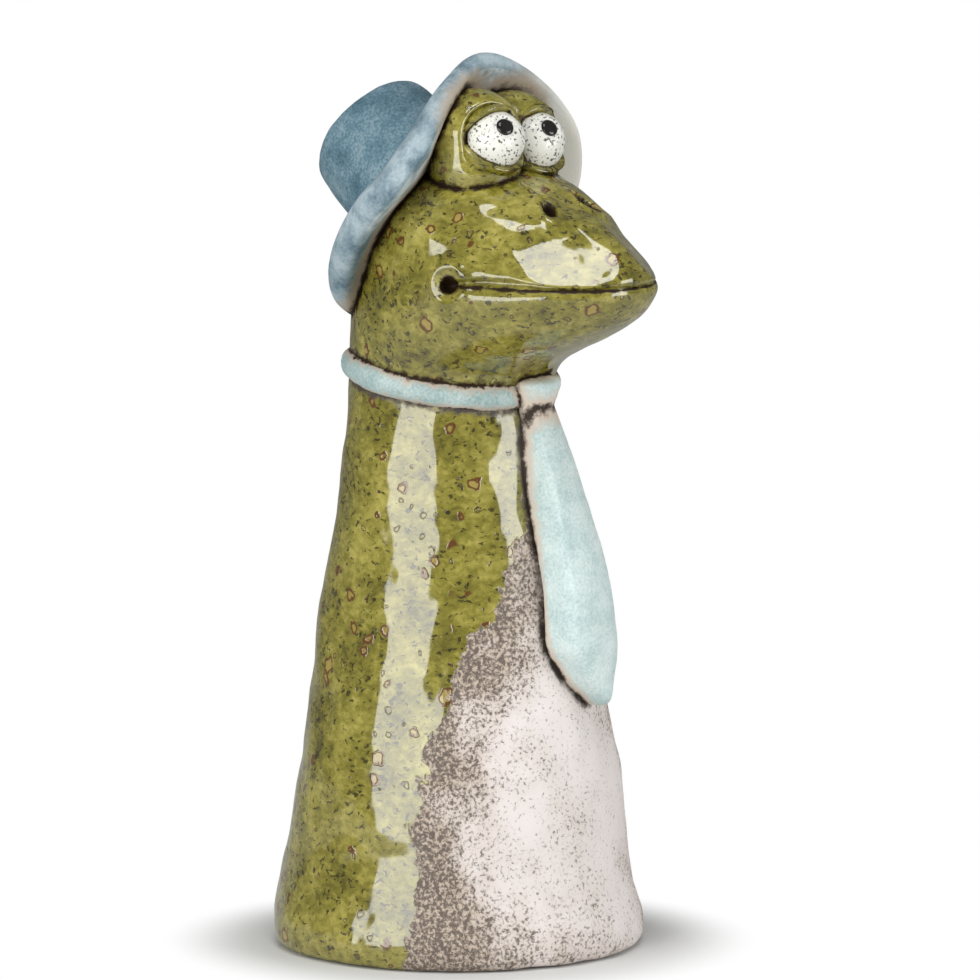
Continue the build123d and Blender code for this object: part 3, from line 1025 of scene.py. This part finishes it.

# %% [markdown]
# Slip is coloured liquid clay, dabbed on with a sponge and left without glaze, so it is matt and finely
# grained. It wears thin at the joints: bare clay shows there, then the dark wash. The brim's shaded underside
# carries painted light: a paler colour. The band, the tie and the hat differ in colours, wear and that
# painted light alone, so one function makes all three.


# %% Blue and aqua slips
def slip_finish(name, deep, plain, pale, worn_and_lit, clay, bare_mm):
    finish, tree, shader, point = new_finish(name)
    dabs = add(tree, "TexNoise", {"Vector": point, "Scale": per_metre(11), "Detail": 5.0, "Roughness": 0.6})
    grain = add(tree, "TexNoise", {"Vector": point, "Scale": per_metre(0.9), "Detail": 2.0})
    mixed = add(tree, "Mix", {0: 0.42, 2: dabs.outputs["Fac"], 3: grain.outputs["Fac"]}, data_type="FLOAT")
    ramp = add(tree, "ValToRGB", {"Fac": mixed.outputs[0]})
    stops = ramp.color_ramp.elements
    stops[0].position = 0.38
    stops[0].color = colour(deep)
    stops[1].position = 0.64
    stops[1].color = colour(pale)
    stops.new(0.5).color = colour(plain)
    # the stored share is real wear on the brim's rim and painted light on the brim's shaded underside; both
    # mix in the pale colour
    rim = add(tree, "Attribute", {}, attribute_name="rim_wear_and_painted_light")
    patchy = add(
        tree,
        "MapRange",
        {"Value": dabs.outputs["Fac"], "From Min": 0.38, "From Max": 0.6, "To Min": 0.2, "To Max": 1.0},
    )
    worn_and_lit_share = add(tree, "Math", {0: rim.outputs["Fac"], 1: patchy.outputs[0]}, operation="MULTIPLY")
    worn_and_lit_slip = add(tree, "Mix", {0: worn_and_lit_share.outputs[0], 6: ramp.outputs[0], 7: colour(worn_and_lit)}, data_type="RGBA")
    thin = add(tree, "Attribute", {}, attribute_name="thin_slip")
    thinned = add(
        tree, "Mix", {0: thin.outputs["Fac"], 6: worn_and_lit_slip.outputs[2], 7: colour("#d8d6cd")}, data_type="RGBA"
    )
    wash, gap = wash_amount(tree, point, 0.35 * bare_mm)
    near = add(tree, "MapRange", {"Value": gap, "From Min": bare_mm, "From Max": 0.4 * bare_mm})
    bared = add(tree, "Mix", {0: near.outputs[0], 6: thinned.outputs[2], 7: colour(clay)}, data_type="RGBA")
    washed = add(tree, "Mix", {0: wash, 6: bared.outputs[2], 7: colour(WASH_BROWN)}, data_type="RGBA")
    bump = add(tree, "Bump", {"Strength": 0.35, "Distance": 0.3 * MM, "Height": grain.outputs["Fac"]})
    fill(tree, shader, {"Base Color": washed.outputs[2], "Roughness": 0.7, "Normal": bump.outputs[0]})
    return finish


# the hat's pale colour is both rim wear and the painted light of the brim's shaded underside
blue_slip = slip_finish("blue_slip", "#3d5a68", "#547381", "#7b939c", "#d3dde0", "#a89a88", 7.5)
aqua_slip = slip_finish("aqua_slip", "#adc4c3", "#c4d6d4", "#d9e5e2", "#e4e6df", "#d0c2b2", 5.5)
# The band gets a darker copy of the aqua slip that the knot and the blade have.
darker_aqua_slip = slip_finish("darker_aqua_slip", "#869f9f", "#9eb4b2", "#bccac6", "#d2cfc4", "#c0b2a2", 2.4)
print(blue_slip.name, aqua_slip.name, darker_aqua_slip.name)

# %% [markdown]
# The eyes are white tin glaze with small dark iron specks, and the pupils are black glaze, a little cloudy.

# %% White and black glaze
white_glaze, tree, shader, point = new_finish("speckled_white_glaze")
specks = add(tree, "TexNoise", {"Vector": point, "Scale": per_metre(1.1), "Detail": 1.0})
speck = add(
    tree, "MapRange", {"Value": specks.outputs["Fac"], "From Min": 0.585, "From Max": 0.65, "To Max": 0.9}
)
white = add(tree, "Mix", {0: speck.outputs[0], 6: colour("#e3e2da"), 7: colour("#3a342c")}, data_type="RGBA")
wash, _ = wash_amount(tree, point, 1.6)
washed = add(tree, "Mix", {0: wash, 6: white.outputs[2], 7: colour("#4a4322")}, data_type="RGBA")
fill(tree, shader, {"Base Color": washed.outputs[2], "Roughness": 0.14})

black_glaze, tree, shader, point = new_finish("black_glaze")
cloud = add(tree, "TexNoise", {"Vector": point, "Scale": per_metre(2.5), "Detail": 2.0})
black = add(
    tree, "Mix", {0: cloud.outputs["Fac"], 6: colour("#0c0a09"), 7: colour("#2b2624")}, data_type="RGBA"
)
fill(tree, shader, {"Base Color": black.outputs[2], "Roughness": 0.08})
print(white_glaze.name, black_glaze.name)

# %% [markdown]
# ## Every piece takes the place of its solid
# Each piece stands for one solid of the imported model. Nothing moves, so all pieces ride the root body. The
# slot names a material, but nothing reads it, and the finish is how the piece looks here.

# %% Pieces, solids and finishes
stands_for = [
    (base_slab, "base_slab", "bare_clay", glaze_and_belly),
    (body_wall, "body_wall", "green_glaze", glaze_and_belly),
    (lower_jaw, "lower_jaw", "green_glaze", olive_glaze),
    (upper_head, "upper_head", "green_glaze", olive_glaze),
    (brim, "hat_brim", "blue_slip", blue_slip),
    (hat_crown, "hat_crown", "blue_slip", blue_slip),
    (hat_top, "hat_top", "blue_slip", blue_slip),
    (band, "neck_band", "aqua_slip", darker_aqua_slip),
    (knot, "tie_knot", "aqua_slip", aqua_slip),
    (blade, "tie_blade", "aqua_slip", aqua_slip),
]
for side_name in eyes:
    stands_for.append((mounds[side_name], side_name + "_eye_mound", "green_glaze", olive_glaze))
    stands_for.append((eyeballs[side_name], side_name + "_eyeball", "white_glaze", white_glaze))
    stands_for.append((pupils[side_name], side_name + "_pupil", "black_glaze", black_glaze))
    for lid_name in ("upper", "lower"):
        lid = lids[side_name + "_" + lid_name]
        stands_for.append((lid, side_name + "_" + lid_name + "_lid", "green_glaze", olive_glaze))
for piece, node, slot, finish in stands_for:
    piece.data.materials.clear()
    piece.data.materials.append(finish)
    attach(piece, "root")
    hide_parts(node)
print(len(stands_for), "pieces")

# %% [markdown]
# ## Floor, light and camera
# The photo's ground is white, with a soft shadow at the foot. The floor is a pale matt sheet near the
# figure and turns to plain white further out, for the camera only. So the shadow shows, and no edge of the
# sheet does.

# %% Floor
clear_selection()
bpy.ops.mesh.primitive_plane_add(size=6, location=(0, 0, 0))
floor = bpy.context.object
floor.name = "floor"
FADE_START = 0.063
FADE_END = 0.1
white_floor, tree, shader, point = new_finish("white_floor")
fill(tree, shader, {"Base Color": colour("#d6d6d4"), "Roughness": 0.9})
from_middle = add(tree, "VectorMath", {0: point}, operation="LENGTH")
fade = {"Value": from_middle.outputs["Value"], "From Min": FADE_START, "From Max": FADE_END}
far = add(tree, "MapRange", fade, interpolation_type="SMOOTHSTEP")
ray = add(tree, "LightPath", {})
seen = add(tree, "Math", {0: ray.outputs["Is Camera Ray"], 1: far.outputs[0]}, operation="MULTIPLY")
paper = add(tree, "Emission", {"Color": (1, 1, 1, 1), "Strength": 1.0})
mixed = add(tree, "MixShader", {0: seen.outputs[0], 1: shader.outputs[0], 2: paper.outputs[0]})
fill(tree, tree.nodes["Material Output"], {"Surface": mixed.outputs[0]})
floor.data.materials.append(white_floor)
print(floor.name, "is white from", FADE_END, "m")

# %% [markdown]
# The surroundings are white to the camera, like the ground of the photo, and dim to everything else. A
# bright room would wash out the bands that the soft boxes leave in the glaze.

# %% World
world = bpy.data.worlds.new("white_sweep")
bpy.context.scene.world = world
world.use_nodes = True
tree = world.node_tree
ray = add(tree, "LightPath", {})
dim = add(tree, "Background", {"Color": (0.95, 0.97, 1, 1), "Strength": 0.22})
bright = add(tree, "Background", {"Color": (1, 1, 1, 1), "Strength": 1.0})
mixed = add(tree, "MixShader", {0: ray.outputs["Is Camera Ray"], 1: dim.outputs[0], 2: bright.outputs[0]})
fill(tree, tree.nodes["World Output"], {"Surface": mixed.outputs[0]})
print("world:", world.name)

# %% [markdown]
# The photo shows the frog from its front right and a little from above, with hardly any perspective. So the
# camera stands far off with a long lens. Its aim and width put the figure where the photo has it.

# %% Camera
VIEW_AZIMUTH = 53
VIEW_ELEVATION = 9
AIM = Vector((6.1, -8.1, 151)) * MM
DISTANCE = 5.0
VIEW_WIDTH = 0.3234
swing = math.radians(VIEW_AZIMUTH)
lift = math.radians(VIEW_ELEVATION)
toward_camera = Vector((-math.sin(swing) * math.cos(lift), -math.cos(swing) * math.cos(lift), math.sin(lift)))
lens = bpy.data.cameras.new("camera")
lens.sensor_width = 36
lens.lens = lens.sensor_width * DISTANCE / VIEW_WIDTH
camera = bpy.data.objects.new("camera", lens)
bpy.context.collection.objects.link(camera)
camera.location = AIM + toward_camera * DISTANCE
camera.rotation_euler = (-toward_camera).to_track_quat("-Z", "Y").to_euler()
bpy.context.scene.camera = camera
print("camera at", tuple(camera.location), "lens", lens.lens)

# %% [markdown]
# Three soft boxes light the figure, at the left, at the right and above. A glossy glaze shows them as pale
# bands, so their places follow the bands in the photo. A wide light from the ceiling fills the shadows. It
# isn't mirrored, because the photo shows no band of it.

# %% Soft boxes
BOX_AIM = Vector((0, 0, 0.15))


def soft_box(name, off_axis, height, reach, width, tall, strength, mirrored=True):
    turn = swing + math.radians(off_axis)
    spot = Vector((-math.sin(turn) * reach, -math.cos(turn) * reach, height))
    lamp = bpy.data.lights.new(name, "AREA")
    lamp.shape = "RECTANGLE"
    lamp.size = width
    lamp.size_y = tall
    lamp.energy = strength * width * tall * math.pi
    box = bpy.data.objects.new(name, lamp)
    bpy.context.collection.objects.link(box)
    box.location = spot
    box.visible_glossy = mirrored
    box.rotation_euler = (BOX_AIM - spot).to_track_quat("-Z", "Y").to_euler()
    print(name, "at", tuple(box.location))


soft_box("left_box", 41, 0.28, 1.1, 0.9, 0.8, 4.4)
soft_box("right_box", -62, 0.3, 1.2, 0.66, 0.8, 5.0)
soft_box("top_box", 0, 1.35, 0.4, 0.5, 0.42, 5.4)
soft_box("ceiling", 8, 1.4, 0.7, 1.2, 1.2, 1.6, mirrored=False)
bpy.context.scene.view_settings.view_transform = "Standard"
